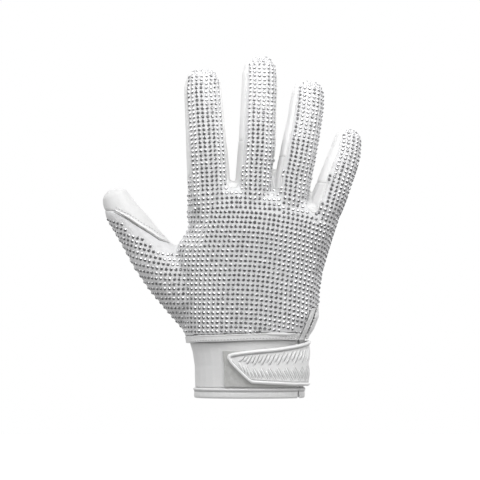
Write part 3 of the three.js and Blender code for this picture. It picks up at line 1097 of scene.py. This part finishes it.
def stitchShape():
    deselectAll()
    bpy.ops.mesh.primitive_uv_sphere_add(segments=6, ring_count=4, radius=1)
    stitch = bpy.context.object
    bpy.ops.object.mode_set(mode="EDIT")
    bpy.ops.mesh.select_all(action="SELECT")
    bpy.ops.transform.resize(value=seamLook["stitchSize"])
    bpy.ops.object.mode_set(mode="OBJECT")
    return stitch


def stitchPlaces(line, normals):
    places = []
    ways = waysOf(line)
    for way in np.arange(0, ways[-1], seamLook["stitchPitch"]):
        spot = min(int(np.searchsorted(ways, way, side="right") - 1), len(line) - 2)
        part = (way - ways[spot]) / max(ways[spot + 1] - ways[spot], 1e-9)
        along = Vector(line[spot + 1] - line[spot])
        places.append((Vector(line[spot]) + along * part, normals[spot], along.normalized()))
    return places


def besideSeam(line, away, owner):
    # a line on one panel, a little way from its seam
    found, normals = [], []
    for spot in range(1, len(line) - 1):
        normal = onSkin(line[spot])[1]
        across = Vector(line[spot + 1] - line[spot - 1]).cross(normal).normalized()
        for side in (away, -away):
            place, facing, face = onSkin(Vector(line[spot]) + across * side)
            if face is not None and skinOwner[face] == owner:
                found.append(tuple(place))
                normals.append(facing)
                break
    return np.array(found), normals


foldKeys = [pair for pair in seamPairs if pair != (onBack, onThumb)]
foldLines = [line for pair in foldKeys for line in seamLines(seamPairs[pair])]
folds = tubes("seamFolds", foldLines, seamLook["foldRadius"], binding)
frontCord("thumbSeamRoll", skinTree, seamLook["thumbFront"], seamLook["roll"], leather)
# the dark cord under the roll is painted shade, not a real groove
frontCord("thumbSeamPaintedShade", skinTree, seamLook["thumbFront"], seamLook["paintedSeamShade"], paintedSeamShade)
say("seams folded:", len(folds.data.polygons))

hemLook = {
    "edge": [
        (-38.4, 35.4), (-31.9, 36.4), (-18.9, 36.7), (0.7, 37.7), (20.2, 38), (29.9, 37.6), (34, 37.5),
    ],
    "firstRow": (0, 1.3),
    "secondRow": (0, 2.4),
    "secondFrom": 4,
    "foldFrom": -41,
    "foldTo": 34,
    "foldBy": (0, -0.45),
    "foldRadius": 0.5 * mm,
    "shadeFrom": (-39.5, 36.2),
    "shade": {"by": [(0, -0.55)], "lift": 0.3 * mm, "radius": 0.45 * mm, "taper": (0.5, 1, 1, 1, 1, 0.6)},
    "lipLine": [(9, 41.6), (15, 41.8), (22, 41.6), (30, 40.8)],
    "lip": {"by": [(0, 0)], "lift": -0.5 * mm, "radius": 1.25 * mm, "taper": (0.2, 0.9, 1, 0.9, 0.2)},
}


def hemTopEdge():
    # x, z of the highest points on the front of the hem
    points = meshArrays(hem.data)[0]
    top = []
    for x in np.arange(hemLook["foldFrom"], hemLook["foldTo"], 1.5) * mm:
        near = points[(np.abs(points[:, 0] - x) < 1 * mm) & (points[:, 1] < 0)]
        if len(near):
            top.append((x / mm, near[:, 2].max() / mm))
    return top


hemFold = frontLine(hemTree, hemTopEdge(), hemLook["foldBy"], -0.1 * mm)[0]
tubes("hemTopFold", [evenLine(hemFold, rounds=6)], hemLook["foldRadius"], binding)
shadeLine = [hemLook["shadeFrom"]] + hemLook["edge"][1:-1]
# a dark cord on the cuff just under the hem: painted shadow of the hem
frontCord("hemPaintedShadow", cuffTree, shadeLine, hemLook["shade"], paintedShadeLine)

sewn = []
for tree, flat, by in (
    (skinTree, seamLook["thumbFront"], seamLook["stitchBy"]),
    (hemTree, hemLook["edge"], hemLook["firstRow"]),
    (hemTree, hemLook["edge"][hemLook["secondFrom"]:], hemLook["secondRow"]),
):
    sewn += stitchPlaces(*frontLine(tree, flat, by, seamLook["stitchLift"]))
for line in seamLines(seamPairs[onPalm, onThumb]):
    beside, normals = besideSeam(line, seamLook["palmStitchAway"], onPalm)
    if len(beside) > 5:
        sewn += stitchPlaces(beside, normals)
stitches = dress(scatter("seamStitches", stitchShape(), sewn), thread)
smoothShade(stitches)
frontCord("hemLip", hemTree, hemLook["lipLine"], hemLook["lip"], binding)
say("stitches sewn:", len(sewn))

ventLook = {
    "middle": [(35.9, 40.5), (39.5, 49.7), (42.4, 56.0)],
    "by": [(-1.1, 0.2), (0.5, -0.1)],
    "lift": -0.15 * mm,
    "radius": 0.55 * mm,
    "taper": (0.5, 1, 1, 0.6),
}
frontCord("ventRidges", ventTree, ventLook["middle"], ventLook, binding)

cuffLook = {
    "ridgeHeight": 5.6 * mm,
    "ridgeRadius": 0.9 * mm,
    "ridgeSink": 0.42 * mm,
    "shadeDown": 1.15 * mm,
    "shadeRadius": 0.3 * mm,
}


def cuffRing(name, height, lift, radius, material):
    # a cord round the cuff's end, open where the cuff is
    line = bandLine(cuffEndTree, [(angle, height) for angle in np.arange(-180, 180, 1.5)], lift)
    breaks = np.nonzero(gapsOf(line) > 3 * mm)[0]
    parts = [part for part in np.split(line, breaks + 1) if len(part) > 3]
    tubes(name, parts, radius, material)


cuffRing("cuffRidge", cuffLook["ridgeHeight"], -cuffLook["ridgeSink"], cuffLook["ridgeRadius"], elastic)
# a dark cord just under the cuff's ridge: painted shade
shadeHeight = cuffLook["ridgeHeight"] - cuffLook["shadeDown"]
cuffRing("cuffRidgePaintedShade", shadeHeight, 0.0, cuffLook["shadeRadius"], paintedShadeLine)
say("vent and cuff ridged")


def bandOutline(obj, step=2.0):
    # the lowest and highest point of the wrapped strap at each angle
    points = meshArrays(obj.data)[0]
    angles = np.degrees(np.arctan2(points[:, 1], points[:, 0] - cuffAxis))
    rows = []
    for angle in np.arange(angles.min() + step, angles.max() - step / 2, step):
        near = np.abs(angles - angle) < step / 2
        rows.append((angle, points[near, 2].min(), points[near, 2].max()))
    return np.array(rows)


strapLook = {
    "tipFrom": 5 * mm,
    "tipLength": 22.5 * mm,
    "tipDraw": 3.2 * mm,
    "tipLevels": (9 * mm, 32 * mm),
    "rimInset": 1.3 * mm,
    "rimRadius": 1.0 * mm,
    "rimSink": 0.4 * mm,
    "rimShadeInset": 1.35 * mm,
    "rimShadeRadius": 0.38 * mm,
    "ribRadius": 0.78 * mm,
    "ribTaper": (0.35, 1, 1, 0.7, 0.3),
    "ribPitch": 10.0,
    "ribRun": 9.0,
    "ribMargin": 2.9 * mm,
    "ribShadeAway": 1.9,
    "ribShadeRadius": 0.34 * mm,
    # each rib's turn, where it begins and ends from the middle out, and where the dark line of painted
    # shade beside it ends
    "legs": ((0.0, 0.1, 1.0, 0.95), (5.0, 0.3, 0.9, 0.85)),
    "field": (-106, 60),
}


def drawTip(obj):
    # the tip is drawn back along the cuff, keeping its height over it
    look = strapLook
    lowest, highest = look["tipLevels"]
    points = meshArrays(obj.data)[0]
    for vertex in np.nonzero((points[:, 0] < look["tipFrom"]) & (points[:, 1] < 0))[0]:
        x, y, z = points[vertex]
        newX = x + look["tipDraw"] * (look["tipFrom"] - x) / look["tipLength"]
        level = min(max(z, lowest), highest)
        rise = fromFront(cuffTree, newX, level)[0].y - fromFront(cuffTree, x, level)[0].y
        points[vertex] = (newX, y + rise, z)
    setPoints(obj.data, points)


drawTip(strap)
strapTree = treeOf(strap)
outline = bandOutline(strap)


def rimLine(inset, lift):
    # along both edges of the strap and round its tip
    top = [(angle, high - inset) for angle, low, high in outline]
    bottom = [(angle, low + inset) for angle, low, high in outline]
    return evenLine(bandLine(strapTree, top[::-1] + bottom, lift), rounds=3)


def ribLine(angle, side, first, last):
    # one leg of a chevron, its point toward the tip of the strap
    turns = []
    for part in np.linspace(first, last, 9):
        at = angle + strapLook["ribRun"] * part
        low = np.interp(at, outline[:, 0], outline[:, 1]) + strapLook["ribMargin"]
        high = np.interp(at, outline[:, 0], outline[:, 2]) - strapLook["ribMargin"]
        turns.append((at, (low + high) / 2 + side * part * (high - low) / 2))
    return bandLine(strapTree, turns)


def longEnough(lines):
    return [line for line in lines if len(line) > 3 and np.linalg.norm(line[-1] - line[0]) > 2 * mm]


rim = rimLine(strapLook["rimInset"], -strapLook["rimSink"])
tubes("strapRim", [rim], strapLook["rimRadius"], moulded)
ribs, ribShadeLines = [], []
for angle in np.arange(*strapLook["field"], strapLook["ribPitch"]):
    for side in (-1, 1):
        for turn, first, last, shadeLast in strapLook["legs"]:
            ribs.append(ribLine(angle + turn, side, first, last))
            ribShadeLines.append(ribLine(angle + turn + strapLook["ribShadeAway"], side, first, shadeLast))
taper = strapLook["ribTaper"]
tubes("strapRibs", longEnough(ribs), strapLook["ribRadius"], moulded, taper)
# the dark cords beside the ribs are painted shade
tubes("strapRibPaintedShade", longEnough(ribShadeLines), strapLook["ribShadeRadius"], paintedShadeLine, taper)
# the dark cord just inside the rim is painted shade
rimShadeLine = rimLine(strapLook["rimInset"] + strapLook["rimShadeInset"], 0.0)
tubes("strapRimPaintedShade", [rimShadeLine], strapLook["rimShadeRadius"], paintedShadeLine)
say("strap ribs:", len(ribs))


def buildStage():
    deselectAll()
    bpy.ops.mesh.primitive_plane_add(size=6, location=(0, 0, -0.14))
    floor = bpy.context.object
    floor.name = "paleFloor"
    material, tree, shader = newMaterial("paleFloor")
    pale = patchy(tree, 3, [(0.0, grey(0.93)), (1.0, grey(0.95))])
    wire(tree, (pale, shader.inputs["Base Color"]), (pale, shader.inputs["Emission Color"]))
    shader.inputs["Emission Strength"].default_value = 0.75
    shader.inputs["Roughness"].default_value = 0.9
    floor.data.materials.append(material)
    floor.visible_glossy = False
    floor.visible_diffuse = False
    floor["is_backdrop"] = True


worldLook = {
    "behind": 0.4,   # how much brighter the stones see what is behind the glove
    "mirrored": [
        (0.0, grey(0.15)), (0.3, grey(0.17)), (0.5, grey(0.34)),
        (0.64, grey(0.66)), (0.85, grey(0.95)), (1.0, grey(1.5)),
    ],
    "lighting": [(0.0, grey(0.36)), (1.0, grey(0.71))],
}


def buildWorld():
    # white all round to the eye; in the stones, bright overhead and dark at the sides and below
    world = bpy.data.worlds.new("softStudio")
    bpy.context.scene.world = world
    world.use_nodes = True
    tree = world.node_tree
    tree.nodes.clear()
    place = tree.nodes.new("ShaderNodeTexCoord")
    split = tree.nodes.new("ShaderNodeSeparateXYZ")
    height = multiplyAdd(tree, split.outputs["Z"], 0.5)
    height.inputs[2].default_value = 0.5
    behind = multiplyAdd(tree, split.outputs["Y"], worldLook["behind"])
    mirrored = shadeRamp(tree, worldLook["mirrored"])
    lighting = shadeRamp(tree, worldLook["lighting"])
    path = tree.nodes.new("ShaderNodeLightPath")
    plain, shaped, soft = (tree.nodes.new("ShaderNodeBackground") for turn in range(3))
    plain.inputs["Color"].default_value = grey(1)
    glossy, seen = (tree.nodes.new("ShaderNodeMixShader") for turn in range(2))
    out = tree.nodes.new("ShaderNodeOutputWorld")
    wire(
        tree,
        (place.outputs["Generated"], split.inputs["Vector"]),
        (height.outputs["Value"], behind.inputs[2]),
        (height.outputs["Value"], lighting.inputs["Fac"]),
        (behind.outputs["Value"], mirrored.inputs["Fac"]),
        (lighting.outputs["Color"], soft.inputs["Color"]),
        (mirrored.outputs["Color"], shaped.inputs["Color"]),
        (path.outputs["Is Glossy Ray"], glossy.inputs["Fac"]),
        (soft.outputs["Background"], glossy.inputs[1]),
        (shaped.outputs["Background"], glossy.inputs[2]),
        (path.outputs["Is Camera Ray"], seen.inputs["Fac"]),
        (glossy.outputs["Shader"], seen.inputs[1]),
        (plain.outputs["Background"], seen.inputs[2]),
        (seen.outputs["Shader"], out.inputs["Surface"]),
    )


# name, place, what it faces, size, power
lamps = [
    ("highSoft", (0.06, -0.34, 0.54), (0, 0, 0.18), 0.45, 2.15),
    ("rightSoft", (0.75, -0.5, 0.35), (-0.006, 0, 0.1), 0.6, 1.0),
    ("leftSoft", (-0.75, -0.45, 0.4), (-0.006, 0, 0.1), 0.6, 1.2),
]


def addArea(name, location, target, size, power):
    deselectAll()
    bpy.ops.object.light_add(type="AREA", location=location)
    lamp = bpy.context.object
    lamp.name = name
    lamp.data.size = size
    lamp.data.energy = power
    toward = Vector(target) - Vector(location)
    lamp.rotation_euler = toward.to_track_quat("-Z", "Y").to_euler()


def buildCamera():
    deselectAll()
    bpy.ops.object.camera_add(location=(-5.85 * mm, -3.3, 102.4 * mm), rotation=(math.pi / 2, 0, 0))
    camera = bpy.context.object
    camera.name = "photoCamera"
    camera.data.sensor_width = 36
    camera.data.lens = 380.7
    camera.data.clip_start = 0.05
    camera.data.clip_end = 20
    bpy.context.scene.camera = camera


buildStage()
buildWorld()
for lamp in lamps:
    addArea(*lamp)
buildCamera()
bpy.context.scene.view_settings.view_transform = "Standard"

visualLow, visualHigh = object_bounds()
say("size:", [round(v / mm, 1) for v in visualHigh - visualLow])
